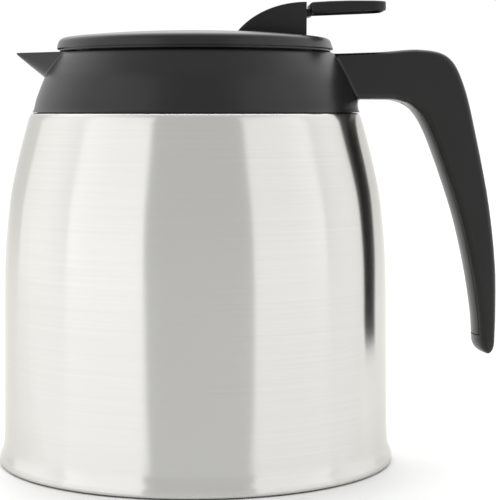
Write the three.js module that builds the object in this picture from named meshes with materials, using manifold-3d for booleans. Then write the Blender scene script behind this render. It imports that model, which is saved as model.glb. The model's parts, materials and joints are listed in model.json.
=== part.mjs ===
// Insulated coffee jug with a screw lid and a thumb lever that opens the pouring valve.
// Millimetres, +Z up. The origin is the centre of the flat underside of the base pad.
// +X points to the handle and -X to the spout.
import * as THREE from 'three';
import { ConvexGeometry } from 'three/addons/geometries/ConvexGeometry.js';
import { mergeVertices } from 'three/addons/utils/BufferGeometryUtils.js';
import Module from 'manifold-3d';

const wasm = await Module();
wasm.setup();

// ---------------------------------------------------------------- driving dimensions
const GAP = 0.3;                   // clearance left between touching pieces
const ROUND = 40;                  // segments round the large turned pieces
const SMALL_ROUND = 16;            // segments round the small turned pieces

const BASE_R = 75;                 // flared foot of the steel body
const STEEL_T = 0.7;               // sheet of both flask walls
const SHOULDER_R = 60.9;           // top of the steel that shows, just under the collar
const SHOULDER_Z = 131.4;
const OUTER_NECK_R = 50;
const MOUTH_R = 48.2;              // clear radius of the steel mouth
const NECK_TOP_Z = 146;
const FLASK_FLOOR_Z = 12;

const COLLAR_BOTTOM_Z = 132.1;
const COLLAR_TOP_Z = 154.2;
const COLLAR_TOP_R = 50.9;
const COLLAR_RECESS_R = 49.5;      // the recess in the collar's top that holds the neck ring
const LEDGE_R = 47.5;              // inner edge of the collar's ledge
const LEDGE_Z = [148.6, 150.2];
const SPOUT_TIP_X = -67.3;

const RING_BORE_R = 44.6;
const THREAD_R = 42.4;             // crests of the thread ridges
const THREAD_LEAD = 36;            // rise for one turn of the lid
const THREAD_STARTS = 3;
const THREAD_Z = 134.5;
const THREAD_H = 2.5;

const PLUG_R = 41.8;               // the lid's plug
const PLUG_WALL = 2;
const PLUG_FLOOR_Z = [129, 131];
const LID_R = 51.9;
const LID_EDGE_Z = 155.2;
const LID_SHOULDER = [49, 160.3];  // where the lid's dome meets its rounded rim
const LID_DOME_Z = 162.6;
const LID_SEAT_Z = 160.5;          // flat seat of the lever housing, sunk into the dome
const LID_T = 2.2;
const LID_UNDERSIDE_Z = LID_SEAT_Z - LID_T;

const FIN_REAR_X = 41.4;           // upright rear face of the lever housing
const FIN_TOP_Z = 173.2;
const FIN_HALF_WIDTH = 11.5;
const FIN_WALL = 2;
const PIVOT = { x: 33.5, z: 163.5 };
const PIN_R = 1.5;
const PIN_PLAY = 0.1;              // radial, in the lever and in the housing
const PIN_HALF_LENGTH = 10.2;      // the ends sit in blind bores
const PAD_X = [42.8, 71.4];
const PAD_HALF_WIDTH = 12;

const STEM_R = 2.4;
const STEM_HEAD_Z = 141.3;         // underside of the head that the fork lifts
const FORK_NOSE_R = 3;
const SCREW_R = 1.5;
const SCREW_HEAD_R = 2.6;
const HANDLE_HALF_WIDTH = 11.5;
const COVER_HALF_WIDTH = 8;

// ---------------------------------------------------------------- making solids
// Keeps only positions, shares equal points and drops triangles that have closed up.
function cleaned(geometry) {
  const bare = geometry.clone();
  bare.deleteAttribute('normal');
  bare.deleteAttribute('uv');
  const merged = mergeVertices(bare, 1e-4);
  const index = merged.index.array;
  const kept = [];
  for (let i = 0; i < index.length; i += 3) {
    const [a, b, c] = [index[i], index[i + 1], index[i + 2]];
    if (a !== b && b !== c && c !== a) kept.push(a, b, c);
  }
  merged.setIndex(kept);
  return merged;
}

function signedVolume(geometry) {
  const p = geometry.attributes.position;
  const index = geometry.index.array;
  const corner = [new THREE.Vector3(), new THREE.Vector3(), new THREE.Vector3()];
  let sum = 0;
  for (let i = 0; i < index.length; i += 3) {
    corner.forEach((v, k) => v.fromBufferAttribute(p, index[i + k]));
    sum += corner[0].dot(corner[1].clone().cross(corner[2])) / 6;
  }
  return sum;
}

function solid(geometry) {
  const mesh = cleaned(geometry);
  const triVerts = Uint32Array.from(mesh.index.array);
  if (signedVolume(mesh) < 0) {
    for (let i = 0; i < triVerts.length; i += 3) {
      [triVerts[i + 1], triVerts[i + 2]] = [triVerts[i + 2], triVerts[i + 1]];
    }
  }
  const vertProperties = Float32Array.from(mesh.attributes.position.array);
  return new wasm.Manifold(new wasm.Mesh({ numProp: 3, vertProperties, triVerts }));
}

function toGeometry(manifold) {
  const mesh = manifold.getMesh();
  const geometry = new THREE.BufferGeometry();
  geometry.setAttribute('position', new THREE.BufferAttribute(mesh.vertProperties, 3));
  geometry.setIndex(new THREE.BufferAttribute(mesh.triVerts, 1));
  geometry.computeVertexNormals();
  return geometry;
}

const joined = (...parts) => parts.reduce((whole, part) => whole.add(part));
const cut = (whole, ...tools) => tools.reduce((rest, tool) => rest.subtract(tool), whole);

// ---------------------------------------------------------------- shape helpers
// A closed profile of [radius, height] points turned about the Z axis.
function turned(profile, segments = ROUND) {
  const points = [...profile, profile[0]].map(([r, z]) => new THREE.Vector2(r, z));
  return solid(new THREE.LatheGeometry(points, segments).rotateX(Math.PI / 2));
}

// A disc or rod standing on the Z axis, moved to x, y.
function disc(r, z0, z1, x = 0, y = 0, segments = SMALL_ROUND) {
  const rod = new THREE.CylinderGeometry(r, r, z1 - z0, segments).rotateX(Math.PI / 2);
  return solid(rod.translate(x, y, (z0 + z1) / 2));
}

function ring(rIn, rOut, z0, z1, segments = ROUND) {
  return turned([[rIn, z0], [rOut, z0], [rOut, z1], [rIn, z1]], segments);
}

function rodAlongX(r, x0, x1, y, z) {
  const rod = new THREE.CylinderGeometry(r, r, x1 - x0, SMALL_ROUND).rotateZ(Math.PI / 2);
  return solid(rod.translate((x0 + x1) / 2, y, z));
}

function rodAlongY(r, halfLength, x, z) {
  return solid(new THREE.CylinderGeometry(r, r, 2 * halfLength, SMALL_ROUND).translate(x, 0, z));
}

function block([x0, x1], [y0, y1], [z0, z1]) {
  const box = new THREE.BoxGeometry(x1 - x0, y1 - y0, z1 - z0);
  return solid(box.translate((x0 + x1) / 2, (y0 + y1) / 2, (z0 + z1) / 2));
}

// An outline in the XZ plane given width along Y, with softened edges if bevel is above zero.
function slab(shape, halfWidth, bevel = 0) {
  const geometry = new THREE.ExtrudeGeometry(shape, {
    depth: 2 * (halfWidth - bevel),
    bevelEnabled: bevel > 0,
    bevelThickness: bevel,
    bevelSize: bevel,
    bevelOffset: -bevel,
    bevelSegments: 2,
    curveSegments: 8,
  });
  return solid(geometry.translate(0, 0, bevel - halfWidth).rotateX(Math.PI / 2));
}

const outline = (points) => new THREE.Shape(points.map(([x, z]) => new THREE.Vector2(x, z)));

// Points [radius, height] on a smooth curve through the given ones.
function smooth(points, steps) {
  const curve = new THREE.SplineCurve(points.map(([r, z]) => new THREE.Vector2(r, z)));
  return curve.getPoints(steps).map((p) => [p.x, p.y]);
}

const degrees = (angle) => (angle * Math.PI) / 180;

// A block bent round the Z axis and tilted to the thread's lead. It spans two angles, in degrees,
// and turn moves it round to another start of the same thread.
function threadBlock(rIn, rOut, z, height, [fromDeg, toDeg], turn) {
  const steps = Math.ceil((toDeg - fromDeg) / 7.5);
  const box = new THREE.BoxGeometry(toDeg - fromDeg, rOut - rIn, height, steps, 1, 1);
  box.translate((fromDeg + toDeg) / 2, (rIn + rOut) / 2, z + height / 2);
  const p = box.attributes.position;
  for (let i = 0; i < p.count; i += 1) {
    const angle = degrees(p.getX(i) + turn);
    const rise = (THREAD_LEAD * p.getX(i)) / 360;
    p.setXYZ(i, p.getY(i) * Math.cos(angle), p.getY(i) * Math.sin(angle), p.getZ(i) + rise);
  }
  return solid(box);
}

function threadBlocks(rIn, rOut, z, height, span) {
  const starts = Array.from({ length: THREAD_STARTS }, (_, k) => (360 / THREAD_STARTS) * k);
  return starts.map((turn) => threadBlock(rIn, rOut, z, height, span, turn));
}

// ---------------------------------------------------------------- steel flask
const STEEL_SIDE = [
  ...smooth([[73.1, 11.5], [72.75, 38], [72.4, 69], [71.7, 84], [70.1, 99],
    [67.9, 110.3], [65, 121.6], [62.6, 129.8]], 9),
  [62.1, 130.8],
  [SHOULDER_R, SHOULDER_Z],
];

function outerShell() {
  const outside = [
    [BASE_R - 0.6, 0.5],
    [BASE_R, 1.2],
    [74, 4.7],
    [73.3, 7.8],
    ...STEEL_SIDE,
    [56, 132.9],
    [OUTER_NECK_R + 1, 134.4],
    [OUTER_NECK_R, 135.6],
    [OUTER_NECK_R, NECK_TOP_Z],
  ];
  const inside = [
    ...outside.slice(0, -4).map(([r, z], i) => [r - STEEL_T, i === 0 ? z : z - 0.1]),
    [56 - STEEL_T, 132.9 - STEEL_T],
    [OUTER_NECK_R + 1 - STEEL_T, 134.4 - STEEL_T],
    [OUTER_NECK_R - STEEL_T, 135.2],
    [OUTER_NECK_R - STEEL_T, NECK_TOP_Z],
  ];
  return turned([...outside, ...inside.reverse()]);
}

function innerVessel() {
  const side = [
    [55, FLASK_FLOOR_Z],
    [62.8, 15.2],
    [66, 23],
    ...smooth([[66, 54], [64.9, 84], [62.7, 99], [59.5, 112], [55, 122], [51, 128.5]], 6),
  ];
  const neckR = MOUTH_R + STEEL_T;
  const rimZ = NECK_TOP_Z + GAP;
  const outside = [[0, FLASK_FLOOR_Z], ...side, [neckR, 133], [neckR, rimZ], [50.4, rimZ]];
  const inside = [
    [50.4, rimZ + STEEL_T],
    [MOUTH_R, rimZ + STEEL_T],
    [MOUTH_R, 132.8],
    ...side.slice(1).reverse().map(([r, z]) => [r - STEEL_T, z]),
    [55, FLASK_FLOOR_Z + STEEL_T],
    [0, FLASK_FLOOR_Z + STEEL_T],
  ];
  return turned([...outside, ...inside]);
}

const BASE_PLATE_Z = 3;
const BASE_PLATE_R = 72.1;
const BASE_PLATE_T = 0.8;
const BASE_PLATE_LIP_Z = 9;        // top of the plate's turned-up edge
const PAD_R = 66;                  // base pad
const PAD_TOP_Z = BASE_PLATE_Z - GAP;
const SEAL = { r: 4.5, z: [1.5, PAD_TOP_Z] };
const GETTER = { r: 7, x: 30, z: [4.1, 6.6] };

function basePlate() {
  const [top, lipR] = [BASE_PLATE_Z + BASE_PLATE_T, BASE_PLATE_R - BASE_PLATE_T];
  return turned([
    [0, BASE_PLATE_Z],
    [BASE_PLATE_R, BASE_PLATE_Z],
    [BASE_PLATE_R, BASE_PLATE_LIP_Z],
    [lipR, BASE_PLATE_LIP_Z],
    [lipR, top],
    [0, top],
  ]);
}

// The pad has a chamfered lower edge and a recess over the seal button.
function basePad() {
  const pad = turned([[0, 0], [PAD_R - 1, 0], [PAD_R, 0.8], [PAD_R, PAD_TOP_Z], [0, PAD_TOP_Z]]);
  return cut(pad, disc(SEAL.r + 3 * GAP, SEAL.z[0] - GAP, BASE_PLATE_Z));
}

// ---------------------------------------------------------------- collar with spout
const COLLAR_SIDE = smooth([[61.5, COLLAR_BOTTOM_Z], [60.1, 137.4], [57.3, 144.2],
  [55, 148.3], [52.6, 152], [COLLAR_TOP_R, COLLAR_TOP_Z]], 6);

// The body of the collar as if it were filled, grown outwards by a clearance.
function collarEnvelope(clearance) {
  const side = COLLAR_SIDE.map(([r, z]) => [r + clearance, z]);
  const low = COLLAR_BOTTOM_Z - 10;
  const high = COLLAR_TOP_Z + 10;
  return turned([[0, low], [side[0][0], low], ...side, [side.at(-1)[0], high], [0, high]]);
}

// A V-shaped beak with a rounded keel. It narrows in a straight line from its section at
// BEAK_ROOT_X, inside the collar, to the tip.
const BEAK_ROOT_X = -44;

function beak({ halfWidth, top, keel, keelR, tipX, tipHalfWidth }) {
  const section = [[-halfWidth, top], [halfWidth, top]];
  for (const angle of [-150, -120, -90, -60, -30]) {
    section.push([keelR * Math.cos(degrees(angle)), keel + keelR + keelR * Math.sin(degrees(angle))]);
  }
  const shrink = tipHalfWidth / halfWidth;
  const points = section.flatMap(([y, z]) => [
    new THREE.Vector3(BEAK_ROOT_X, y, z),
    new THREE.Vector3(tipX, y * shrink, top + (z - top) * shrink),
  ]);
  return solid(new ConvexGeometry(points));
}

function collar() {
  const inside = COLLAR_SIDE.map(([r, z]) => [r - 2.2, z]).filter(([, z]) => z < 146.5);
  const shell = turned([
    ...COLLAR_SIDE,
    [COLLAR_RECESS_R, COLLAR_TOP_Z],
    [COLLAR_RECESS_R, LEDGE_Z[1]],
    [LEDGE_R, LEDGE_Z[1]],
    [LEDGE_R, LEDGE_Z[0]],
    [52, LEDGE_Z[0]],
    ...inside.reverse(),
    [59.3, COLLAR_BOTTOM_Z + 0.1],
  ]);
  const outer = beak({
    halfWidth: 18.4, top: COLLAR_TOP_Z, keel: 134.8, keelR: 5, tipX: SPOUT_TIP_X, tipHalfWidth: 0.9,
  });
  const channel = beak({
    halfWidth: 15.4, top: COLLAR_TOP_Z + 1, keel: 140, keelR: 4, tipX: SPOUT_TIP_X + 1.5, tipHalfWidth: 0.6,
  });
  const hollow = joined(
    disc(52.5, 120, LEDGE_Z[0] + 0.8, 0, 0, ROUND),
    disc(COLLAR_RECESS_R, 120, 170, 0, 0, ROUND),
  );
  const spout = cut(outer, hollow);
  const aboveLedge = block([-80, -LEDGE_R], [-16, 16], [LEDGE_Z[1] + 0.4, 160]);
  const handleScrews = HANDLE_SCREW_Y.map((y) => rodAlongX(1.9, 50, 70, y, HANDLE_SCREW_Z));
  return cut(joined(shell, spout), channel.intersect(aboveLedge), ...handleScrews);
}

// A sleeve with the thread inside, whose flange sits in the collar's recess.
function neckRing() {
  const [bottom, shoulder] = [129, 147];
  const flange = [LEDGE_Z[1] + GAP, LEDGE_Z[1] + 1.5];
  const [sleeveR, flangeR, flangeBoreR] = [LEDGE_R - 0.4, COLLAR_RECESS_R - 0.5, 46.6];
  const sleeve = turned([
    [RING_BORE_R, bottom],
    [sleeveR, bottom],
    [sleeveR, flange[0]],
    [flangeR, flange[0]],
    [flangeR, flange[1]],
    [flangeBoreR, flange[1]],
    [flangeBoreR, shoulder],
    [RING_BORE_R, shoulder],
  ]);
  return joined(sleeve, ...threadBlocks(THREAD_R, RING_BORE_R + 0.5, THREAD_Z, THREAD_H, [0, 90]));
}

// ---------------------------------------------------------------- handle
const HANDLE_SCREW_Y = [-6.5, 6.5];
const HANDLE_SCREW_Z = 142.8;
// Matching points along the outer and the inner edge of the handle's side view.
const HANDLE_OUTER = [[48, 154.1], [68, 154.6], [84, 155.5], [94.6, 152.4], [100.8, 141.5],
  [106, 121], [110.7, 97.5], [113.3, 75], [113.7, 57], [113.5, 46]];
const HANDLE_INNER = [[48, 137.2], [66, 137.2], [77, 136.7], [82, 133.4], [86.8, 125],
  [92.6, 110], [98.6, 92], [103.2, 73], [105.9, 57], [106.8, 46]];
const HANDLE_STEPS = 27;
const HANDLE_TIP_LENGTH = 5.6;     // the rounded end beyond the last pair of points

// The point a share of the way from the inner edge to the outer edge, at one of the steps.
function handlePoint(step, share) {
  const along = step / HANDLE_STEPS;
  const at = (edge) => new THREE.SplineCurve(edge.map(([x, z]) => new THREE.Vector2(x, z))).getPoint(along);
  const p = at(HANDLE_INNER).lerp(at(HANDLE_OUTER), share);
  return [p.x, p.y];
}

// The band between two shares of the handle's thickness, from one step to another.
function handleBand([fromStep, toStep], [lowShare, highShare]) {
  const count = Math.round(toStep - fromStep);
  const steps = Array.from({ length: count + 1 }, (_, i) => fromStep + ((toStep - fromStep) * i) / count);
  const low = steps.map((step) => handlePoint(step, lowShare));
  const high = steps.map((step) => handlePoint(step, highShare));
  return outline([...low, ...high.reverse()]);
}

function handleOutline() {
  const inner = Array.from({ length: HANDLE_STEPS + 1 }, (_, i) => handlePoint(i, 0));
  const outer = Array.from({ length: HANDLE_STEPS + 1 }, (_, i) => handlePoint(i, 1)).reverse();
  const [[innerX, endZ], [outerX]] = [inner.at(-1), outer[0]];
  const middle = (innerX + outerX) / 2;
  const tip = [150, 120, 90, 60, 30].map((angle) => [
    middle + ((outerX - innerX) / 2) * Math.cos(degrees(angle)),
    endZ - HANDLE_TIP_LENGTH * Math.sin(degrees(angle)),
  ]);
  return [...inner, ...tip, ...outer];
}

const COVER_STEPS = [7, 26.6];
const COVER_END_GAP = 0.1;         // in steps, about half a millimetre

function handleShell() {
  const whole = slab(outline(handleOutline()), HANDLE_HALF_WIDTH, 1.8);
  const pocket = slab(handleBand(COVER_STEPS, [-0.5, 0.7]), COVER_HALF_WIDTH + GAP);
  const screws = HANDLE_SCREW_Y.map((y) => rodAlongX(SCREW_R + GAP, 50, 71, y, HANDLE_SCREW_Z));
  return cut(whole, collarEnvelope(GAP + 0.05), pocket, ...screws);
}

function handleInnerCover() {
  const ends = [COVER_STEPS[0] + COVER_END_GAP, COVER_STEPS[1] - COVER_END_GAP];
  return slab(handleBand(ends, [0.03, 0.24]), COVER_HALF_WIDTH);
}

// The head sits inside the collar's wall and the shank runs out into the handle's root.
function handleScrew(y) {
  const [headX, tipX] = [53, 70];
  const head = rodAlongX(SCREW_HEAD_R, headX - 1.8, headX, y, HANDLE_SCREW_Z);
  return joined(head, rodAlongX(SCREW_R, headX - 0.5, tipX, y, HANDLE_SCREW_Z));
}

// ---------------------------------------------------------------- lid
const LUG_SPAN = [4, 32];          // degrees, under the low end of each thread ridge
const LUG_Z = THREAD_Z - THREAD_H - 0.4;
const FLANGE_Z = [156, LID_UNDERSIDE_Z - GAP];
const HOUSING_SCREW = { x: 23, y: [-6, 6] };
const ARM_SLOT_X = [25, 38];
const ARM_SLOT_HALF_WIDTH = 4.5;
const ARM_X = [29, 33];
const ARM_HALF_WIDTH = 3.5;
const HUB_HALF_WIDTH = 8.6;
const FORK_Z = [137.3, 139.8];
const FORK_HALF_WIDTH = 6.2;
const PORT_R = 7;

// A shallow dome with a rounded rim. Inside the rim a skirt reaches down to just above the
// collar, and the lever housing has a flat seat sunk into the dome.
function lidCover() {
  const [shoulderR, shoulderZ] = LID_SHOULDER;
  const [skirtInR, skirtOutR, skirtZ] = [49.7, 51.2, COLLAR_TOP_Z + GAP];
  const rim = smooth([[LID_R, 157.6], [51, 159.5], LID_SHOULDER], 4);
  const dome = [0.8, 0.6, 0.4, 0.2, 0].map((share) => [
    shoulderR * share,
    shoulderZ + (LID_DOME_Z - shoulderZ) * (1 - share ** 2),
  ]);
  const shell = turned([
    [skirtOutR, skirtZ],
    [skirtOutR, LID_EDGE_Z],
    [LID_R, LID_EDGE_Z],
    ...rim,
    ...dome,
    [0, LID_UNDERSIDE_Z],
    [48.8, LID_UNDERSIDE_Z],
    [skirtInR, 157.4],
    [skirtInR, skirtZ],
  ]);
  const seat = slab(finOutline(-GAP, LID_SEAT_Z), FIN_HALF_WIDTH + GAP);
  const armSlot = block(ARM_SLOT_X, [-ARM_SLOT_HALF_WIDTH, ARM_SLOT_HALF_WIDTH], [150, 170]);
  const holes = HOUSING_SCREW.y.map((y) => disc(SCREW_R + GAP, 150, 170, HOUSING_SCREW.x, y));
  return cut(shell, seat, armSlot, ...holes);
}

// The threaded plug: a cup with a flange, a valve port in its floor and a window to the spout.
function lidBase() {
  const [flangeR, innerR] = [48.4, PLUG_R - PLUG_WALL];
  const cup = turned([
    [0, PLUG_FLOOR_Z[0]],
    [PLUG_R, PLUG_FLOOR_Z[0]],
    [PLUG_R, FLANGE_Z[0]],
    [flangeR, FLANGE_Z[0]],
    [flangeR, FLANGE_Z[1]],
    [innerR, FLANGE_Z[1]],
    [innerR, PLUG_FLOOR_Z[1]],
    [0, PLUG_FLOOR_Z[1]],
  ]);
  const lugs = threadBlocks(PLUG_R - 0.6, RING_BORE_R - 0.4, LUG_Z, THREAD_H, LUG_SPAN);
  const port = disc(PORT_R, 120, 140);
  const window = block([-60, -30], [-14, 14], [149.6, 155]);
  return cut(joined(cup, ...lugs), port, window);
}

const lidGasket = () => turned([
  [PLUG_R + GAP, 147.3],
  [45.6, 147.3],
  [46.2, 148],
  [45.6, 148.7],
  [PLUG_R + GAP, 148.7],
]);

// ---------------------------------------------------------------- lever housing and lever
const FIN_RISE_Z = 150;            // height of the ellipse's centre, below the lid's top
const FIN_LENGTH = 30;
const FIN_BOTTOM_Z = LID_SEAT_Z + GAP;

// Side view of the fin: a quarter of an ellipse in front of an upright rear face.
function finOutline(inset, bottom = FIN_BOTTOM_Z) {
  const [rx, rz] = [FIN_LENGTH - inset, FIN_TOP_Z - FIN_RISE_Z - inset];
  const first = Math.asin((bottom - FIN_RISE_Z) / rz);
  const last = Math.acos(inset / rx);
  const arc = Array.from({ length: 15 }, (_, i) => first + ((last - first) * i) / 14);
  const front = arc.map((t) => [FIN_REAR_X - rx * Math.cos(t), FIN_RISE_Z + rz * Math.sin(t)]);
  return outline([...front, [FIN_REAR_X - inset, bottom]]);
}

function leverHousing() {
  const openBelow = block([15, FIN_REAR_X - FIN_WALL], [-9.5, 9.5], [150, FIN_BOTTOM_Z + 0.2]);
  const cavity = slab(finOutline(FIN_WALL), FIN_HALF_WIDTH - FIN_WALL);
  const whole = slab(finOutline(0), FIN_HALF_WIDTH, 0.8);
  const bosses = HOUSING_SCREW.y.map((y) => (
    disc(2.8, FIN_BOTTOM_Z, 172, HOUSING_SCREW.x, y).intersect(slab(finOutline(0.5), FIN_HALF_WIDTH))
  ));
  const shell = joined(cut(whole, cavity, openBelow), ...bosses);
  const pinBore = rodAlongY(PIN_R + PIN_PLAY, PIN_HALF_LENGTH + GAP, PIVOT.x, PIVOT.z);
  const neckSlot = block([FIN_REAR_X - 5, FIN_REAR_X + 2], [-7.6, 7.6], [164.6, 171.3]);
  const screws = HOUSING_SCREW.y.map((y) => disc(SCREW_R + 0.1, 150, 165.4, HOUSING_SCREW.x, y));
  return cut(shell, pinBore, neckSlot, ...screws);
}

const leverPin = () => rodAlongY(PIN_R, PIN_HALF_LENGTH, PIVOT.x, PIVOT.z);

function housingScrew(y) {
  const [headTop, tipZ] = [LID_UNDERSIDE_Z - GAP, 165];
  const head = disc(SCREW_HEAD_R, headTop - 1.6, headTop, HOUSING_SCREW.x, y);
  return joined(head, disc(SCREW_R - 0.2, headTop - 0.5, tipZ, HOUSING_SCREW.x, y));
}

// The pad outside, the neck through the rear wall, the hub on the pin, and the arm that runs
// down through the lid to a fork round the valve stem.
function thumbLever() {
  const pad = new THREE.Shape();
  pad.moveTo(PAD_X[0], 168.3);
  pad.lineTo(PAD_X[1] - 1.4, 169.6);
  pad.quadraticCurveTo(PAD_X[1], 169.6, PAD_X[1], 170.8);
  pad.lineTo(PAD_X[1], 172.4);
  pad.quadraticCurveTo(PAD_X[1], 173.5, PAD_X[1] - 1.4, 173.6);
  pad.quadraticCurveTo(58, 174.1, PAD_X[0], 173);
  const neck = outline([[34, 166], [38, 167.2], [44, 167.6], [44, 170.8], [38, 170.3], [34, 168]]);
  const hub = rodAlongY(PIVOT.z - FIN_BOTTOM_Z, HUB_HALF_WIDTH, PIVOT.x, PIVOT.z);
  const middleOfHub = rodAlongY(4, ARM_HALF_WIDTH, PIVOT.x, PIVOT.z);
  const arm = block(ARM_X, [-ARM_HALF_WIDTH, ARM_HALF_WIDTH], [FORK_Z[0], PIVOT.z + 0.5]);
  const leg = block([-1, ARM_X[1]], [-FORK_HALF_WIDTH, FORK_HALF_WIDTH], FORK_Z);
  const nose = rodAlongY(FORK_NOSE_R, FORK_HALF_WIDTH, 0, STEM_HEAD_Z - GAP - FORK_NOSE_R);
  const stemSlot = block([-20, 9], [-STEM_R - 0.6, STEM_R + 0.6], [130, 150]);
  const bore = rodAlongY(PIN_R + PIN_PLAY, PIN_HALF_LENGTH, PIVOT.x, PIVOT.z);
  const body = joined(slab(pad, PAD_HALF_WIDTH, 0.8), slab(neck, 7), hub, middleOfHub, arm, leg, nose);
  return cut(body, stemSlot, bore);
}

// ---------------------------------------------------------------- valve
function valveStem() {
  return turned([
    [0, 128.4],
    [4.2, 128.4],
    [4.2, 131],
    [STEM_R, 131],
    [STEM_R, 133.3],
    [5.5, 133.3],
    [5.5, 134],
    [STEM_R, 134],
    [STEM_R, STEM_HEAD_Z],
    [8, STEM_HEAD_Z],
    [8, STEM_HEAD_Z + 2],
    [3.4, STEM_HEAD_Z + 2],
    [3.2, 147],
    [0, 147],
  ], SMALL_ROUND);
}

function valveSpring() {
  const turns = 4.5;
  const [low, high] = [STEM_HEAD_Z + 2 + GAP + 0.6, LID_UNDERSIDE_Z - GAP - 0.6];
  const coil = new THREE.Curve();
  coil.getPoint = (t) => {
    const angle = 2 * Math.PI * turns * t;
    return new THREE.Vector3(5 * Math.cos(angle), 5 * Math.sin(angle), low + (high - low) * t);
  };
  const wire = new THREE.Shape().absarc(0, 0, 0.55, 0, 2 * Math.PI);
  return solid(new THREE.ExtrudeGeometry(wire, { steps: 54, curveSegments: 3, extrudePath: coil }));
}

// ---------------------------------------------------------------- materials and assembly
const steel = { color: 0xd9d9d4, roughness: 0.35, metalness: 1 };
const hardware = { color: 0xb9bab8, roughness: 0.3, metalness: 1 };
const plastic = { color: 0x2d2d2c, roughness: 0.55, metalness: 0 };
const darkPlastic = { color: 0x242423, roughness: 0.5, metalness: 0 };
const rubber = { color: 0x1b1b1b, roughness: 0.85, metalness: 0 };
const silicone = { color: 0x9a9a96, roughness: 0.6, metalness: 0 };

const jug = new THREE.Group();

function place(group, name, manifold, material) {
  const mesh = new THREE.Mesh(toGeometry(manifold), new THREE.MeshStandardMaterial(material));
  mesh.name = name;
  group.add(mesh);
}

const flask = new THREE.Group();
place(flask, 'outer_shell', outerShell(), steel);
place(flask, 'inner_vessel', innerVessel(), steel);
place(flask, 'base_plate', basePlate(), steel);
place(flask, 'vacuum_getter', disc(GETTER.r, ...GETTER.z, GETTER.x), hardware);
place(flask, 'evacuation_seal', disc(SEAL.r, ...SEAL.z), hardware);
place(flask, 'base_pad', basePad(), rubber);

const top = new THREE.Group();
place(top, 'collar', collar(), plastic);
place(top, 'neck_gasket', ring(MOUTH_R + 0.4, 50.2, 147.3, 148.3), silicone);
place(top, 'neck_ring', neckRing(), plastic);
place(top, 'handle_shell', handleShell(), plastic);
place(top, 'handle_inner_cover', handleInnerCover(), plastic);
place(top, 'handle_screw_left', handleScrew(HANDLE_SCREW_Y[0]), hardware);
place(top, 'handle_screw_right', handleScrew(HANDLE_SCREW_Y[1]), hardware);

const lid = new THREE.Group();
place(lid, 'lid_cover', lidCover(), plastic);
place(lid, 'lid_base', lidBase(), plastic);
place(lid, 'lid_gasket', lidGasket(), silicone);
place(lid, 'lever_housing', leverHousing(), darkPlastic);
place(lid, 'housing_screw_left', housingScrew(HOUSING_SCREW.y[0]), hardware);
place(lid, 'housing_screw_right', housingScrew(HOUSING_SCREW.y[1]), hardware);
place(lid, 'lever_pin', leverPin(), hardware);
place(lid, 'thumb_lever', thumbLever(), darkPlastic);
place(lid, 'valve_stem', valveStem(), darkPlastic);
place(lid, 'valve_seal', ring(STEM_R + 0.4, 9.5, 131.3, 133, SMALL_ROUND), silicone);
place(lid, 'valve_spring', valveSpring(), hardware);

jug.add(flask, top, lid);

export default jug;
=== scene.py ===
import json
import math

import bmesh
import bpy
import numpy as np
from mathutils import Matrix, Vector


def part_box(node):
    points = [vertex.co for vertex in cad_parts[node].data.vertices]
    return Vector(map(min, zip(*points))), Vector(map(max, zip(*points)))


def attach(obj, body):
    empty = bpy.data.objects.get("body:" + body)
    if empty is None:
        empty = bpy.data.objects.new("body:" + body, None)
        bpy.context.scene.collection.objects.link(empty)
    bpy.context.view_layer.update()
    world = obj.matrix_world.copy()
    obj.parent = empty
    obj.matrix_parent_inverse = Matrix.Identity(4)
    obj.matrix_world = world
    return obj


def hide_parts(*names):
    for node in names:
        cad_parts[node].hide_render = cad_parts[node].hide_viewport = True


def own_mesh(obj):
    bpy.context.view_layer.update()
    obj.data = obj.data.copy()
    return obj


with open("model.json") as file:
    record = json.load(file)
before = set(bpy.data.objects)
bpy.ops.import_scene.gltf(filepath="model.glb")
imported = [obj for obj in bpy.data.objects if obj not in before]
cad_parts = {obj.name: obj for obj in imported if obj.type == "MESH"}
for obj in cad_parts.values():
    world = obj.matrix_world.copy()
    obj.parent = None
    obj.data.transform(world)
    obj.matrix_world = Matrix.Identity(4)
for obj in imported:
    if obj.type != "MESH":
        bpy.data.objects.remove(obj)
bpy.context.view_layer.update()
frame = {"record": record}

MM = 0.001
ROUND = 192                      # segments round a large turned piece
SMALL_ROUND = 64
SHARP_DEG = 40                   # edges sharper than this are shaded sharp


def box_mm(node):
    """Lowest and highest corner of a CAD node, in millimetres."""
    low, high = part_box(node)
    return low / MM, high / MM


# ---------------- outlines
def rising_curve(points, per_span=6):
    """Points on a smooth curve through the given [r, z] points (Catmull-Rom)."""
    p = [2 * np.array(points[0], float) - points[1], *map(np.array, points),
         2 * np.array(points[-1], float) - points[-2]]
    curve = []
    for i in range(1, len(p) - 2):
        for t in np.linspace(0, 1, per_span, endpoint=False):
            a = 2 * p[i]
            b = (p[i + 1] - p[i - 1]) * t
            c = (2 * p[i - 1] - 5 * p[i] + 4 * p[i + 1] - p[i + 2]) * t ** 2
            d = (3 * p[i] - p[i - 1] - 3 * p[i + 1] + p[i + 2]) * t ** 3
            curve.append((a + b + c + d) / 2)
    curve.append(p[-2])
    return [tuple(point) for point in curve]


def rounded(points, radii, steps=5):
    """A closed outline whose corners are rounded. radii holds one radius for each corner, 0 for sharp."""
    result = []
    count = len(points)
    for i, radius in enumerate(radii):
        corner = np.array(points[i], float)
        before = np.array(points[i - 1], float) - corner
        after = np.array(points[(i + 1) % count], float) - corner
        if radius <= 0:
            result.append(tuple(corner))
            continue
        before /= np.linalg.norm(before)
        after /= np.linalg.norm(after)
        half = math.acos(max(-1.0, min(1.0, float(before @ after)))) / 2
        reach = radius / math.tan(half)
        start, end = corner + before * reach, corner + after * reach
        centre = corner + (before + after) / np.linalg.norm(before + after) * radius / math.sin(half)
        for t in np.linspace(0, 1, steps):
            direction = (1 - t) * (start - centre) + t * (end - centre)
            result.append(tuple(centre + direction / np.linalg.norm(direction) * radius))
    return result


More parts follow.
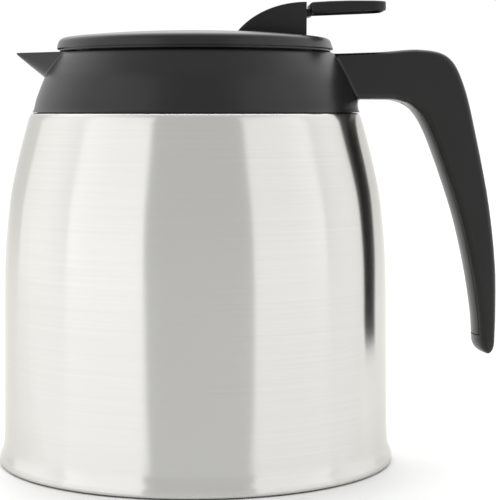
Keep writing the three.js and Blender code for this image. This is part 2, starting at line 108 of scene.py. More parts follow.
# ---------------- meshes
def make_mesh(name, vertices, faces, sharp_deg=SHARP_DEG):
    """A mesh object from millimetre vertices, smooth except over edges sharper than sharp_deg."""
    mesh = bpy.data.meshes.new(name)
    mesh.from_pydata([tuple(c * MM for c in v) for v in vertices], [], faces)
    work = bmesh.new()
    work.from_mesh(mesh)
    bmesh.ops.remove_doubles(work, verts=work.verts, dist=1e-7)
    bmesh.ops.recalc_face_normals(work, faces=work.faces)
    work.to_mesh(mesh)
    work.free()
    piece = bpy.data.objects.new(name, mesh)
    bpy.context.scene.collection.objects.link(piece)
    shade(piece, sharp_deg)
    return piece


def shade(piece, sharp_deg):
    mesh = piece.data
    mesh.shade_smooth()
    mesh.set_sharp_from_angle(angle=math.radians(sharp_deg))


def turned(name, profile, segments=ROUND, sharp_deg=SHARP_DEG):
    """A closed [r, z] profile turned about the Z axis. Points with r = 0 become single poles."""
    vertices, rings = [], []
    for r, z in profile:
        if r < 1e-6:
            rings.append([len(vertices)] * segments)
            vertices.append((0, 0, z))
            continue
        rings.append(list(range(len(vertices), len(vertices) + segments)))
        for k in range(segments):
            angle = 2 * math.pi * k / segments
            vertices.append((r * math.cos(angle), r * math.sin(angle), z))
    faces = []
    for low, high in zip(rings, rings[1:] + rings[:1]):
        if low[0] == low[-1] and high[0] == high[-1]:
            continue
        for k in range(segments):
            n = (k + 1) % segments
            corners = list(dict.fromkeys([low[k], low[n], high[n], high[k]]))
            faces.append(corners)
    return make_mesh(name, vertices, faces, sharp_deg)


def lofted(name, rings, sharp_deg=SHARP_DEG, closed=False):
    """Skin over rings of equally many points. The two ends are capped unless the loft is closed."""
    count = len(rings[0])
    vertices = [point for ring in rings for point in ring]
    pairs = list(zip(range(len(rings)), range(1, len(rings))))
    if closed:
        pairs.append((len(rings) - 1, 0))
    faces = []
    for a, b in pairs:
        for k in range(count):
            n = (k + 1) % count
            faces.append([a * count + k, a * count + n, b * count + n, b * count + k])
    if not closed:
        faces.append(list(range(count)))
        faces.append(list(range((len(rings) - 1) * count, len(rings) * count)))
    return make_mesh(name, vertices, faces, sharp_deg)


def slab(name, outline, half_width, bevel=0.0):
    """An [x, z] outline given width along Y, its long edges rounded by bevel."""
    piece = lofted(name, [[(x, y, z) for x, z in outline] for y in (-half_width, half_width)])
    if bevel > 0:
        round_edges(piece, bevel)
    return piece


def round_edges(piece, width, segments=4, angle_deg=50):
    """Bevels the edges sharper than angle_deg."""
    modifier = piece.modifiers.new("rounding", "BEVEL")
    modifier.width = width * MM
    modifier.segments = segments
    modifier.limit_method = "ANGLE"
    modifier.angle_limit = math.radians(angle_deg)
    modifier.use_clamp_overlap = True
    bake_modifiers(piece)


def bake_modifiers(piece):
    """Turns the piece's modifiers into plain mesh."""
    graph = bpy.context.evaluated_depsgraph_get()
    mesh = bpy.data.meshes.new_from_object(piece.evaluated_get(graph), depsgraph=graph)
    piece.modifiers.clear()
    piece.data = mesh
    shade(piece, SHARP_DEG)


def combine(piece, operation, others):
    """Joins or cuts piece with other closed meshes, which are used up."""
    for other in others:
        modifier = piece.modifiers.new("combine", "BOOLEAN")
        modifier.operation = operation
        modifier.solver = "EXACT"
        modifier.object = other
        bake_modifiers(piece)
        bpy.data.objects.remove(other)
    return piece


def shift_matrix(x, y, z):
    return Matrix.Translation(Vector((x, y, z)) * MM)


def block(name, x, y, z, bevel=0.0):
    """A box between pairs of x, y and z, its edges rounded by bevel."""
    outline = [(x[0], z[0]), (x[1], z[0]), (x[1], z[1]), (x[0], z[1])]
    piece = lofted(name, [[(px, py, pz) for px, pz in outline] for py in y])
    if bevel > 0:
        round_edges(piece, bevel, 3)
    return piece


def rod(name, r, low, high, x=0.0, y=0.0, edge=0.0):
    """An upright rod from low to high, its two rims chamfered by edge."""
    side = [(r, low), (r, high)]
    if edge > 0:
        side = [(r - edge, low), (r, low + edge), (r, high - edge), (r - edge, high)]
    piece = turned(name, [(0, low), *side, (0, high)], SMALL_ROUND)
    piece.data.transform(shift_matrix(x, y, 0))
    return piece


def rod_along_y(name, r, half_length, x, z, edge=0.0):
    piece = rod(name, r, -half_length, half_length, edge=edge)
    piece.data.transform(Matrix.Rotation(math.radians(90), 4, "X"))
    piece.data.transform(shift_matrix(x, 0, z))
    return piece


def rod_along_x(name, r, x0, x1, y, z):
    piece = rod(name, r, x0, x1)
    piece.data.transform(Matrix.Rotation(math.radians(90), 4, "Y"))
    piece.data.transform(shift_matrix(0, y, z))
    return piece


def finish_piece(piece, slot, body, node):
    """Gives a piece the material named slot, attaches it to its body and hides its CAD node."""
    piece.data.materials.clear()
    piece.data.materials.append(MATERIALS[slot])
    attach(piece, body)
    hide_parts(node)


def make_turned_piece(node, profile, slot, body, segments=ROUND, sharp_deg=SHARP_DEG):
    finish_piece(turned(node + "_fine", profile, segments, sharp_deg), slot, body, node)


# ---------------- materials
def new_material(name, colour, roughness, metallic=0.0):
    material = bpy.data.materials.new(name)
    material.use_nodes = True
    tree = material.node_tree
    shader = tree.nodes["Principled BSDF"]
    shader.inputs["Base Color"].default_value = (*colour, 1)
    shader.inputs["Roughness"].default_value = roughness
    shader.inputs["Metallic"].default_value = metallic
    material.diffuse_color = (*colour, 1)
    return material, tree, shader


def noise(tree, scale, detail=2.0, stretch=(1, 1, 1)):
    """Noise over the piece's own coordinates, in metres, squeezed by stretch along each axis."""
    coordinates = tree.nodes.new("ShaderNodeTexCoord")
    mapping = tree.nodes.new("ShaderNodeMapping")
    mapping.inputs["Scale"].default_value = stretch
    texture = tree.nodes.new("ShaderNodeTexNoise")
    texture.inputs["Scale"].default_value = scale
    texture.inputs["Detail"].default_value = detail
    tree.links.new(coordinates.outputs["Object"], mapping.inputs["Vector"])
    tree.links.new(mapping.outputs["Vector"], texture.inputs["Vector"])
    return texture.outputs["Fac"]


def map_range(tree, value, from_range, to_range, interpolation="LINEAR"):
    node = tree.nodes.new("ShaderNodeMapRange")
    node.interpolation_type = interpolation
    node.inputs["From Min"].default_value, node.inputs["From Max"].default_value = from_range
    node.inputs["To Min"].default_value, node.inputs["To Max"].default_value = to_range
    tree.links.new(value, node.inputs["Value"])
    return node.outputs["Result"]


def spread(tree, value, low=0.0, high=1.0):
    """Maps a noise value, which stays near the middle, to the range from low to high."""
    return map_range(tree, value, (0.3, 0.7), (low, high))


def vary_colour(tree, shader, value, dark, light):
    """The base colour runs from dark to light as value runs from 0 to 1."""
    node = tree.nodes.new("ShaderNodeMix")
    node.data_type = "RGBA"
    node.inputs["A"].default_value = (*dark, 1)
    node.inputs["B"].default_value = (*light, 1)
    tree.links.new(value, node.inputs["Factor"])
    tree.links.new(node.outputs["Result"], shader.inputs["Base Color"])


def add_bump(tree, shader, heights):
    """heights is a list of (value, strength, distance in mm), laid over each other."""
    normal = None
    for value, strength, distance in heights:
        node = tree.nodes.new("ShaderNodeBump")
        node.inputs["Strength"].default_value = strength
        node.inputs["Distance"].default_value = distance * MM
        tree.links.new(value, node.inputs["Height"])
        if normal is not None:
            tree.links.new(normal, node.inputs["Normal"])
        normal = node.outputs["Normal"]
    tree.links.new(normal, shader.inputs["Normal"])


def scaled(colour, factor):
    return tuple(c * factor for c in colour)


def brushed_steel(name, colour, roughness, anisotropy, streak=1.0):
    """Steel brushed round the Z axis: fine level streaks, and reflections drawn out up and down."""
    material, tree, shader = new_material(name, colour, roughness, 1.0)
    shader.inputs["Specular Tint"].default_value = (*scaled(colour, EDGE_DARKENING / colour[0]), 1)
    shader.inputs["Anisotropic"].default_value = anisotropy
    shader.inputs["Anisotropic Rotation"].default_value = ACROSS_THE_BRUSHING
    tangent = tree.nodes.new("ShaderNodeTangent")
    tangent.direction_type = "RADIAL"
    tangent.axis = "Z"
    tree.links.new(tangent.outputs["Tangent"], shader.inputs["Tangent"])
    fine = noise(tree, 1.0, 3, (20, 20, 14000))
    coarse = noise(tree, 1.0, 3, (14, 14, 1900))
    clouds = noise(tree, 9.0, 4)
    tree.links.new(spread(tree, fine, roughness * 0.88, roughness * 1.12), shader.inputs["Roughness"])
    blended = tree.nodes.new("ShaderNodeMix")
    blended.inputs["Factor"].default_value = 0.4
    tree.links.new(coarse, blended.inputs["A"])
    tree.links.new(clouds, blended.inputs["B"])
    shade_share = spread(tree, blended.outputs["Result"])
    vary_colour(tree, shader, shade_share, scaled(colour, 0.968), scaled(colour, 1.022))
    add_bump(tree, shader, [(fine, 0.035 * streak, 0.012), (coarse, 0.02 * streak, 0.015)])
    return material


def moulded_plastic(name, colour, roughness, specular):
    """Matt moulded plastic with a fine spark-eroded grain and slightly uneven gloss."""
    material, tree, shader = new_material(name, colour, roughness)
    shader.inputs["Specular IOR Level"].default_value = specular
    grains = noise(tree, 2600.0, 2)
    flow = noise(tree, 28.0, 4)
    tree.links.new(spread(tree, flow, roughness - 0.03, roughness + 0.04), shader.inputs["Roughness"])
    vary_colour(tree, shader, spread(tree, flow), scaled(colour, 0.85), scaled(colour, 1.2))
    add_bump(tree, shader, [(grains, 0.12, 0.02), (flow, 0.05, 0.1)])
    return material


def soft_rubber(name, colour, roughness, cloudy=0.0):
    """Rubber or silicone with a fine dusty grain. cloudy is the share of light that enters it."""
    material, tree, shader = new_material(name, colour, roughness)
    shader.inputs["Subsurface Weight"].default_value = cloudy
    shader.inputs["Subsurface Radius"].default_value = (0.002, 0.002, 0.002)
    dust = noise(tree, 700.0, 5)
    tree.links.new(spread(tree, dust, roughness - 0.08, roughness + 0.05), shader.inputs["Roughness"])
    vary_colour(tree, shader, spread(tree, dust), scaled(colour, 0.85), scaled(colour, 1.15))
    add_bump(tree, shader, [(dust, 0.15, 0.03)])
    return material


def plated_metal(name, colour, roughness):
    """Smooth plated metal with faint handling marks."""
    material, tree, shader = new_material(name, colour, roughness, 1.0)
    marks = noise(tree, 900.0, 4, (1, 1, 3))
    tree.links.new(spread(tree, marks, roughness * 0.8, roughness * 1.3), shader.inputs["Roughness"])
    vary_colour(tree, shader, spread(tree, marks), scaled(colour, 0.92), scaled(colour, 1.04))
    add_bump(tree, shader, [(marks, 0.05, 0.02)])
    return material


ACROSS_THE_BRUSHING = 0.25       # a quarter turn lays the blur across the brushing
EDGE_DARKENING = 0.8             # how much of the light brushed steel returns at a glancing angle
SLOTS = [
    ("brushed_steel", brushed_steel, (0.655, 0.65, 0.625), 0.2, 0.97),
    ("inner_steel", brushed_steel, (0.6, 0.6, 0.585), 0.2, 0.4, 0.6),
    ("black_plastic", moulded_plastic, (0.0042, 0.0042, 0.0039), 0.3, 0.44),
    ("lever_plastic", moulded_plastic, (0.0028, 0.0028, 0.0026), 0.42, 0.38),
    ("black_rubber", soft_rubber, (0.016, 0.016, 0.016), 0.7),
    ("silicone", soft_rubber, (0.42, 0.42, 0.4), 0.45, 0.25),
    ("fastener_steel", plated_metal, (0.6, 0.6, 0.6), 0.24),
]
MATERIALS = {slot: make(slot, *values) for slot, make, *values in SLOTS}

# ---------------- camera, light and floor
CAMERA_AT = (0, -640, 132.8)
CAMERA_YAW_DEG = 1.781           # to the right
CAMERA_PITCH_DEG = 4.741         # downwards
CAMERA_LENS = 121.05
GLOW_DIRECTION = (0, 0.6, 0.8)   # the studio's brightest part is above the jug and behind it
FLOOR_R = 4000
FLOOR_T = 20
REFLECTOR_REACH = 3000
REFLECTOR_Z = (1, 1.2)


def make_camera():
    camera = bpy.data.objects.new("camera", bpy.data.cameras.new("camera"))
    camera.data.lens = CAMERA_LENS
    camera.location = Vector(CAMERA_AT) * MM
    camera.rotation_euler = (math.radians(90 - CAMERA_PITCH_DEG), 0, -math.radians(CAMERA_YAW_DEG))
    camera.data.clip_start = 0.05
    bpy.context.scene.collection.objects.link(camera)
    bpy.context.scene.camera = camera


def softbox(name, from_deg, to_deg, radiance):
    """A flat light that covers a range of directions, in degrees to the right of the camera's side."""
    distance, height, centre_z = 1.3, 2.4, 0.3     # metres
    middle, half = math.radians((from_deg + to_deg) / 2), math.radians((to_deg - from_deg) / 2)
    width = 2 * distance * math.tan(half)
    data = bpy.data.lights.new(name, "AREA")
    data.shape = "RECTANGLE"
    data.size, data.size_y = width, height
    data.energy = radiance * math.pi * width * height
    light = bpy.data.objects.new(name, data)
    light.location = (distance * math.sin(middle), -distance * math.cos(middle), centre_z)
    towards = Vector((0, 0, centre_z)) - light.location
    light.rotation_euler = towards.to_track_quat("-Z", "Y").to_euler()
    light.visible_camera = False
    bpy.context.scene.collection.objects.link(light)


def make_world(front, back, overhead):
    """An even studio: paler behind the jug than on the camera's side, and brighter overhead."""
    world = bpy.data.worlds.new("studio")
    world.use_nodes = True
    tree = world.node_tree
    background = tree.nodes["Background"]
    coordinates = tree.nodes.new("ShaderNodeTexCoord")
    parts = tree.nodes.new("ShaderNodeSeparateXYZ")
    tree.links.new(coordinates.outputs["Generated"], parts.inputs["Vector"])
    level = map_range(tree, parts.outputs["Y"], (-0.5, 0.3), (front, back), "SMOOTHSTEP")
    towards_glow = tree.nodes.new("ShaderNodeVectorMath")
    towards_glow.operation = "DOT_PRODUCT"
    towards_glow.inputs[1].default_value = GLOW_DIRECTION
    tree.links.new(coordinates.outputs["Generated"], towards_glow.inputs[0])
    glow = map_range(tree, towards_glow.outputs["Value"], (0.7, 0.95), (0.0, overhead), "SMOOTHSTEP")
    total = tree.nodes.new("ShaderNodeMath")
    total.operation = "ADD"
    tree.links.new(level, total.inputs[0])
    tree.links.new(glow, total.inputs[1])
    tree.links.new(total.outputs["Value"], background.inputs["Strength"])
    background.inputs["Color"].default_value = (1, 1, 1, 1)
    bpy.context.scene.world = world


def make_floor():
    floor = turned("floor", [(0, 0), (FLOOR_R, 0), (FLOOR_R, -FLOOR_T), (0, -FLOOR_T)], 96)
    material, tree, shader = new_material("floor", (0.96, 0.96, 0.955), 0.6)
    shader.inputs["Specular IOR Level"].default_value = 0.2
    cloud = noise(tree, 3.0, 3)
    vary_colour(tree, shader, cloud, (0.955, 0.955, 0.95), (0.965, 0.965, 0.96))
    floor.data.materials.append(material)


def make_reflector(name, from_deg, to_deg, radiance):
    """A glowing card on the floor that only reflections see. It evens out the light that the jug
    mirrors down to its foot. Its sides follow what the round body mirrors towards the front: a
    normal at an angle mirrors what lies at twice that angle."""
    inner_r = 95
    inner, outer = [], []
    for angle in np.radians(np.linspace(from_deg / 2, to_deg / 2, 24)):
        x, y = inner_r * math.sin(angle), -inner_r * math.cos(angle)
        inner.append((x, y))
        outer.append((x + REFLECTOR_REACH * math.sin(2 * angle), y - REFLECTOR_REACH * math.cos(2 * angle)))
    card = lofted(name, [[(x, y, z) for x, y in [*inner, *reversed(outer)]] for z in REFLECTOR_Z])
    material = bpy.data.materials.new(name)
    material.use_nodes = True
    nodes = material.node_tree.nodes
    glow = nodes.new("ShaderNodeEmission")
    glow.inputs["Strength"].default_value = radiance
    material.node_tree.links.new(glow.outputs["Emission"], nodes["Material Output"].inputs["Surface"])
    card.data.materials.append(material)
    card.visible_camera = False
    card.visible_diffuse = False
    card.visible_shadow = False


make_camera()
make_world(front=0.71, back=1.02, overhead=1.3)
softbox("softbox_left", -80, -30, 0.62)
softbox("softbox_left_back", -128, -80, 0.32)
softbox("softbox_right", 33, 82, 0.47)
softbox("softbox_right_back", 82, 125, 0.18)
make_floor()
make_reflector("reflector_front", -30, 35, 0.77)
make_reflector("reflector_left", -120, -30, 1.3)
make_reflector("reflector_right", 35, 120, 1.15)
bpy.context.scene.view_settings.view_transform = "Standard"


# ---------------- steel flask
BASE_R = box_mm("outer_shell")[1].x
SHELL_T = 0.7                    # thickness of both steel walls
NECK_TOP_Z = box_mm("outer_shell")[1].z


def make_outer_shell():
    """The outer wall with its flared foot, its sloping shoulder and its upright neck."""
    side = rising_curve([(73.1, 11.5), (72.75, 38), (72.4, 69), (71.7, 84), (70.1, 99),
                         (67.9, 110.3), (65, 121.6), (62.95, 129.2)], 8)
    foot = rising_curve([(BASE_R - 0.03, 1.5), (74.65, 3.2), (73.9, 5.2), (73.35, 7.6), side[0]], 5)[:-1]
    shoulder = [(62.45, 130.5), (62.1, 131.15), (61.65, 131.6), (61, 131.85), (59.5, 132.02), (56, 132.8),
                (51.4, 134.0), (50.4, 134.8), (50, 136), (50, NECK_TOP_Z)]
    outside = [(BASE_R - 0.75, 0.5), (BASE_R - 0.3, 0.55), (BASE_R - 0.05, 0.9), *foot, *side, *shoulder]
    inside = [(r - SHELL_T, z - 0.15) for r, z in outside[3:-1]]
    profile = [*outside, (50 - SHELL_T, NECK_TOP_Z), *reversed(inside), (BASE_R - 0.85, 0.8)]
    make_turned_piece("outer_shell", profile, "brushed_steel", "jug", 256, 50)


def make_inner_vessel():
    """The wall that holds the coffee, open at its neck, with its rim turned outwards."""
    low, high = box_mm("inner_vessel")
    neck = 48.9
    side = [(55, low.z), (59.5, low.z + 0.9), (62.9, low.z + 3.4), (65.2, low.z + 7), (66, low.z + 12),
            *rising_curve([(66, 54), (64.9, 84), (62.7, 99), (59.5, 112), (55, 122), (50.8, 129)], 5),
            (49.4, 131.4), (neck, 133.5), (neck, high.z - 0.7)]
    inside = [(r - SHELL_T, z) for r, z in side[4:-1]]
    bottom = [(62.2, low.z + 4), (59, low.z + 1.6), (55, low.z + 0.7), (0, low.z + 0.7)]
    rim = [(50.4, high.z - 0.7), (50.4, high.z), (neck - SHELL_T, high.z)]
    profile = [(0, low.z), *side, *rim, *reversed(inside), *bottom]
    make_turned_piece("inner_vessel", profile, "inner_steel", "jug", ROUND, 50)


def make_base_plate():
    """A pressed disc with a turned-up edge, a bead round it and a dish in its middle."""
    low, high = box_mm("base_plate")
    r, t, z = high.x, 0.8, low.z
    under = [(0, z), (12, z), (13, z + 0.25), (52, z + 0.25), (54, z), (r - 1.2, z), (r - 0.35, z + 0.35),
             (r, z + 1.2)]
    over = [(r - t, z + 1.8), (r - 1.6, z + t + 0.1), (54, z + t), (52, z + t + 0.25), (13, z + t + 0.25),
            (12, z + t), (0, z + t)]
    rim = [(r, high.z - 0.2), (r - 0.25, high.z), (r - t, high.z - 0.1)]
    make_turned_piece("base_plate", [*under, *rim, *over], "brushed_steel", "jug", ROUND, 50)


def make_base_pad():
    """The pad's underside stands on rings, and its top has a recess over the seal button."""
    high = box_mm("base_pad")[1]
    r = high.x
    underside = [(0, 0.5), (18, 0.5), (18.4, 0)]
    for groove in (30, 42, 54):
        underside += [(groove - 1.4, 0), (groove - 1, 0.5), (groove + 1, 0.5), (groove + 1.4, 0)]
    edge = [(r - 1.2, 0), (r - 0.3, 0.3), (r, 1), (r, high.z - 0.3), (r - 0.3, high.z)]
    recess = [(5.4, high.z), (5.4, 1.2), (0, 1.2)]
    make_turned_piece("base_pad", [*underside, *edge, *recess], "black_rubber", "jug", ROUND, 35)


def make_getter():
    low, high = box_mm("vacuum_getter")
    r, z, top = (high.x - low.x) / 2, low.z, high.z
    profile = [(0, z), (r - 0.5, z), (r, z + 0.5), (r, top - 0.3), (r - 0.3, top), (r - 0.9, top),
               (r - 1.2, top - 0.5), (0, top - 0.5)]
    piece = turned("vacuum_getter_fine", profile, SMALL_ROUND)
    piece.data.transform(shift_matrix((low.x + high.x) / 2, 0, 0))
    finish_piece(piece, "fastener_steel", "jug", "vacuum_getter")


def make_evacuation_seal():
    low, high = box_mm("evacuation_seal")
    r, z, top = high.x, low.z, high.z
    profile = [(0, z + 0.35), (1.6, z + 0.35), (2, z), (r - 0.6, z), (r - 0.15, z + 0.2), (r, z + 0.6),
               (r, top - 0.1), (r - 0.1, top), (0, top)]
    make_turned_piece("evacuation_seal", profile, "fastener_steel", "jug", SMALL_ROUND)


# ---------------- collar with spout
COLLAR_Z = (box_mm("collar")[0].z, box_mm("collar")[1].z)
SPOUT_TIP_R = -box_mm("collar")[0].x
COLLAR_CURVE = rising_curve([(61.4, 132.1), (60.7, 133.6), (59.8, 137.2), (57.1, 144.2),
                             (54.9, 148.3), (52.55, 152), (50.9, 154.2)], 8)
RECESS_R = 49.5
LEDGE_R = 47.5
LEDGE_Z = (148.6, 150.2)
BOSS_HEIGHT = 1.2                # of the pad that carries the handle's root
BOSS_HALF_WIDTH = 12
BOSS_BLEND = 13


def collar_radius(z):
    """Outer radius of the collar's round body."""
    return np.interp(z, [p[1] for p in COLLAR_CURVE], [p[0] for p in COLLAR_CURVE])


def boss_rise(y, z):
    """How far the collar stands out round the handle's root."""
    share = np.clip(1 - (np.abs(y) - BOSS_HALF_WIDTH) / BOSS_BLEND, 0, 1) ** 2
    share = np.where(np.abs(y) < BOSS_HALF_WIDTH, 1, share)
    return BOSS_HEIGHT * share * np.interp(z, [132.1, 136.5], [0.6, 1])


SPOUT_ROUNDNESS = 2.4            # exponent of the spout's section: 2 is an ellipse
SPOUT_REACH = math.radians(40)   # half the angle round the axis in which the spout lies
RIM_LIFT = 0.25                  # how far the collar's top edge stands above its recess's rim


def spout_width(u, wall=0.0):
    """Half width of the spout at a distance u behind its tip."""
    return np.maximum(0.6 + 0.86 * u - wall, 0.05)


def spout_depth(u, wall=0.0):
    """Depth of the spout's section at a distance u behind its tip."""
    return np.maximum(0.6 + 0.8 * u - wall, 0.02)


def rim_lift(r, z):
    """Raises the collar's top edge, outside the recess."""
    outside_recess = np.clip((r - RECESS_R) / 0.8, 0, 1)
    near_top = np.clip((z - COLLAR_Z[1] + 5) / 5, 0, 1)
    return RIM_LIFT * outside_recess * near_top


def spout_radius(angle, depth):
    """Radius at which the spout's skin lies, angle away from -X and depth below its top."""
    low, high = np.zeros_like(angle), SPOUT_TIP_R / np.cos(angle)
    for _ in range(40):
        r = (low + high) / 2
        u = np.maximum(SPOUT_TIP_R - r * np.cos(angle), 1e-6)
        across = r * np.sin(angle) / spout_width(u)
        inside = across ** SPOUT_ROUNDNESS + (depth / spout_depth(u)) ** SPOUT_ROUNDNESS <= 1
        low, high = np.where(inside, r, low), np.where(inside, high, r)
    return low


def smooth_max(a, b, k):
    """The larger of a and b, blended where they differ by less than k."""
    h = np.clip(k - np.abs(a - b), 0, k) / k
    return np.maximum(a, b) + h * h * k / 4


def channel_height(x, y):
    """Height of the collar's top inside the spout, where the coffee runs."""
    top = COLLAR_Z[1]
    u = np.maximum(SPOUT_TIP_R + x, 0)
    across = np.clip(np.abs(y) / spout_width(u, 1.5), 0, 1)
    floor = top - spout_depth(u, 1.9) * (1 - across ** SPOUT_ROUNDNESS) ** (1 / SPOUT_ROUNDNESS)
    return np.clip(floor, LEDGE_Z[1] + 0.6, top)


def collar_angles():
    """Angles round the axis, close together where the spout is."""
    coarse = np.linspace(-130, 130, 160)
    fine = np.concatenate([np.linspace(130, 160, 30, endpoint=False), np.linspace(160, 200, 181),
                           np.linspace(200, 230, 31)[1:-1]])
    return np.radians(np.concatenate([coarse, fine[1:]]))


COLLAR_WALL = 2.2
TOP_EDGE_R = 0.35                # radius of the collar's rounded top edge
SPOUT_BLEND = 0.7


def make_collar():
    """Rings from the bottom up the outside, over the rim, and down the recess and the bore."""
    bottom, top = COLLAR_Z
    angles = collar_angles()
    from_spout = np.abs(np.abs((angles + math.pi) % (2 * math.pi) - math.pi) - math.pi)
    edge = TOP_EDGE_R
    rings = []

    def add_ring(r, z):
        z = z + rim_lift(r, z)
        rings.append(np.stack([r * np.cos(angles), r * np.sin(angles), z], axis=1).tolist())

    heights = [*np.linspace(bottom, 134, 7), *np.linspace(134, top - edge, 44)[1:],
               *(top - edge + edge * np.sin(np.radians([22, 45, 67, 90])))]
    for z in heights:
        r = np.full(angles.shape, float(collar_radius(z)))
        near_handle = np.cos(angles) > 0
        r = r + np.where(near_handle, boss_rise(r * np.sin(angles), z), 0)
        near_spout = from_spout < SPOUT_REACH
        beak = spout_radius(np.where(near_spout, from_spout, 0.1), np.full(angles.shape, top - z))
        r = np.where(near_spout, smooth_max(r, beak, SPOUT_BLEND), r)
        over = max(0.0, z - (top - edge))
        r = r - (edge - math.sqrt(max(edge ** 2 - over ** 2, 0)))
        add_ring(r, z)
    outer_r = r
    for share in np.linspace(0, 1, 41)[1:]:
        r = outer_r + (RECESS_R - outer_r) * share
        rim = np.minimum(1, (outer_r - r) / 0.9) if share < 1 else 1
        height = channel_height(r * np.cos(angles), r * np.sin(angles))
        in_front = (from_spout < SPOUT_REACH) & (outer_r > RECESS_R + 2)
        add_ring(r, np.where(in_front, top + (height - top) * rim, top))
    same = np.ones(angles.shape)
    for r, z in [(RECESS_R, LEDGE_Z[1]), (LEDGE_R, LEDGE_Z[1]), (LEDGE_R, LEDGE_Z[0]), (52, LEDGE_Z[0])]:
        add_ring(r * same, z)
    for z in np.linspace(146.5, bottom + 0.1, 12):
        add_ring((collar_radius(z) - COLLAR_WALL) * same, z)
    piece = lofted("collar_fine", rings, 35, closed=True)
    low, high = box_mm("handle_screw_left")
    holes = [rod_along_x("hole", 1.9, 50, 66, side * (low.y + high.y) / 2, (low.z + high.z) / 2)
             for side in (-1, 1)]
    combine(piece, "DIFFERENCE", holes)
    finish_piece(piece, "black_plastic", "jug", "collar")


def make_neck_gasket():
    low, high = box_mm("neck_gasket")
    inner = 48.6
    profile = rounded([(inner, low.z), (high.x, low.z), (high.x, high.z), (inner, high.z)], [0.3] * 4, 4)
    make_turned_piece("neck_gasket", profile, "silicone", "jug")


# ---------------- thread between neck ring and lid
THREAD_LEAD = 36
THREAD_STARTS = 3
RIDGE_Z = 134.5
RIDGE_HEIGHT = 2.5


def thread_bar(name, r_root, r_crest, z, height, from_deg, to_deg, turn_deg):
    """One helical bar with a sloping-sided section, its two ends run out to the root."""
    rings = []
    for angle_deg in np.arange(from_deg, to_deg + 0.1, 1.5):
        angle = math.radians(angle_deg + turn_deg)
        low = z + THREAD_LEAD * angle_deg / 360
        run_out = min(1.0, (angle_deg - from_deg) / 4 + 0.15, (to_deg - angle_deg) / 4 + 0.15)
        crest = r_root + (r_crest - r_root) * run_out
        section = [(r_root, low + 0.05), (crest, low + 0.45), (crest, low + height - 0.45),
                   (r_root, low + height - 0.05)]
        rings.append([(r * math.cos(angle), r * math.sin(angle), h) for r, h in section])
    return lofted(name, rings)


def thread_bars(r_root, r_crest, z, height, from_deg, to_deg):
    return [thread_bar("bar", r_root, r_crest, z, height, from_deg, to_deg, 360 / THREAD_STARTS * k)
            for k in range(THREAD_STARTS)]


def make_neck_ring():
    low, high = box_mm("neck_ring")
    bore, sleeve, flange_z = 44.6, LEDGE_R - 0.4, LEDGE_Z[1] + 0.3
    corners = [(bore, low.z), (sleeve, low.z), (sleeve, flange_z), (high.x, flange_z), (high.x, high.z),
               (46.6, high.z), (46.6, 147), (bore, 147)]
    profile = rounded(corners, [0.4, 0.4, 0, 0.3, 0.3, 0.3, 0, 0.3], 4)
    piece = turned("neck_ring_fine", profile)
    combine(piece, "UNION", thread_bars(bore + 0.5, 42.5, RIDGE_Z, RIDGE_HEIGHT, 1, 89))
    finish_piece(piece, "black_plastic", "jug", "neck_ring")


# ---------------- screws
def screw_mesh(name, r, head_r, head_t, length):
    """A pan-head screw that points up +Z. Its head is below z = 0 and its shank, with a real
    helical thread, above. The head has a cross recess."""
    pitch, around, per_turn = 1.4, 24, 8
    rows = int((length - 1.5) / pitch * per_turn)
    rings = []
    for i in range(rows + 1):
        z = (length - 1.5) * i / rows
        ring = []
        for k in range(around):
            phase = (z / pitch - k / around) % 1
            crest = max(0.0, 1 - abs(phase - 0.5) * 5) * min(1, max(0, z - 0.6))
            ring.append((r * (0.78 + 0.22 * crest), k, z))
        rings.append(ring)
    rings.append([(r * 0.1, k, length) for k in range(around)])
    head = [(r * 0.7, -0.01), (head_r, -0.01), (head_r, -head_t * 0.45), (head_r * 0.86, -head_t * 0.85),
            (head_r * 0.6, -head_t), (0.05, -head_t)]
    rings = [[(hr, k, hz) for k in range(around)] for hr, hz in reversed(head)] + rings
    spaced = [[(rr * math.cos(2 * math.pi * k / around), rr * math.sin(2 * math.pi * k / around), z)
               for rr, k, z in ring] for ring in rings]
    piece = lofted(name, spaced, 50)
    arm, wide = head_r * 0.55, head_r * 0.13
    slots = [block("slot", (-arm, arm), (-wide, wide), (-head_t - 1, -head_t * 0.45)),
             block("slot", (-wide, wide), (-arm, arm), (-head_t - 1, -head_t * 0.45))]
    return combine(piece, "DIFFERENCE", slots)


def make_handle_screw(node):
    low, high = box_mm(node)
    piece = screw_mesh(node + "_fine", 1.5, 2.6, 1.8, high.x - low.x - 1.8)
    piece.data.transform(Matrix.Rotation(math.radians(90), 4, "Y"))
    piece.data.transform(shift_matrix(low.x + 1.8, (low.y + high.y) / 2, (low.z + high.z) / 2))
    finish_piece(piece, "fastener_steel", "jug", node)


def make_housing_screw(node):
    low, high = box_mm(node)
    piece = screw_mesh(node + "_fine", 1.3, 2.6, 1.6, high.z - low.z - 1.6)
    piece.data.transform(shift_matrix((low.x + high.x) / 2, (low.y + high.y) / 2, low.z + 1.6))
    finish_piece(piece, "fastener_steel", "lid", node)


